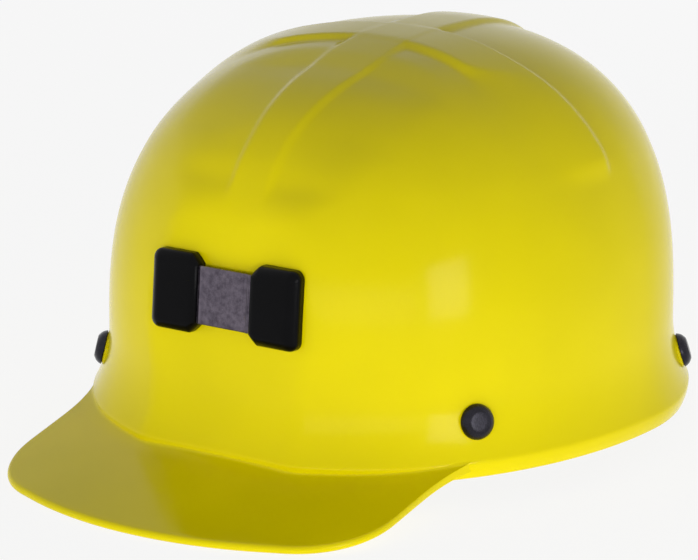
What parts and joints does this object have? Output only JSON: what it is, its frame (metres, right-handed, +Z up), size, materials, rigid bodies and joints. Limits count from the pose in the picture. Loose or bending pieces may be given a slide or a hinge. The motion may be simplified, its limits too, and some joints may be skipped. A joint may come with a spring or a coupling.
{
  "type": "miner helmet",
  "caption": "Miner's cap with a low ribbed dome, flat front with a lamp bracket, short brim, webbing suspension with a ratchet headband, and a rear cord clip.",
  "frame": {"origin": "bottom centre of the whole part's box, under the middle of its length and width, level with the lowest edge of the brim", "axes": "+Z up towards the crown, -Y towards the brim (front), +X towards the wearer's left, in metres"},
  "size_m": [0.2172, 0.289, 0.1459],
  "materials": {
    "shell_plastic": "smooth moulded, high gloss",
    "bracket_plastic": "moulded, satin gloss",
    "plate_steel": "mottled rolled surface",
    "blackened_metal": "blackened, low gloss",
    "bare_steel": "bright plated",
    "nylon": "moulded",
    "band_plastic": "moulded",
    "webbing": "woven webbing",
    "brow_fabric": "cloth over foam",
    "pad_fabric": "cloth over foam",
    "ratchet_plastic": "moulded"
  },
  "bodies": {
    "cap": {"shell": "shell_plastic", "lamp_block_left": "bracket_plastic", "lamp_block_right": "bracket_plastic", "lamp_plate": "plate_steel", "bracket_backing_plate": "bare_steel", "bracket_screws": "bare_steel", "rivet_front_left": "blackened_metal", "rivet_front_right": "blackened_metal", "rivet_rear_left": "blackened_metal", "rivet_rear_right": "blackened_metal", "rivet_washers": "bare_steel", "hanger_front_left": "nylon", "hanger_front_right": "nylon", "hanger_rear_left": "nylon", "hanger_rear_right": "nylon", "headband_studs": "nylon", "crown_strap_lower": "webbing", "crown_strap_upper": "webbing", "headband": "band_plastic", "sweatband": "brow_fabric", "nape_pad": "pad_fabric", "ratchet_housing": "ratchet_plastic", "ratchet_cover": "ratchet_plastic", "cover_screws": "bare_steel", "detent_spring": "bare_steel", "cord_clip": "ratchet_plastic", "cord_clip_rivet": "blackened_metal"},
    "knob": {"ratchet_knob": "ratchet_plastic", "ratchet_pinion": "nylon"},
    "rack_left_body": {"rack_left": "nylon"},
    "rack_right_body": {"rack_right": "nylon"}
  },
  "joints": [
    {"name": "knob_turn", "type": "hinge", "parent": "cap", "child": "knob", "pos_m": [0, 0.11031, 0.02775], "axis": [0, 1, 0], "range_deg": [-68.75, 68.75]},
    {"name": "rack_left_slide", "type": "slide", "parent": "cap", "child": "rack_left_body", "axis": [1, 0, 0], "range_m": [-0.006, 0.006]},
    {"name": "rack_right_slide", "type": "slide", "parent": "cap", "child": "rack_right_body", "axis": [1, 0, 0], "range_m": [-0.006, 0.006]}
  ],
  "couplings": [
    {"joint": "rack_left_slide", "follows": "knob_turn", "m_per_rad": 0.005},
    {"joint": "rack_right_slide", "follows": "knob_turn", "m_per_rad": -0.005}
  ]
}
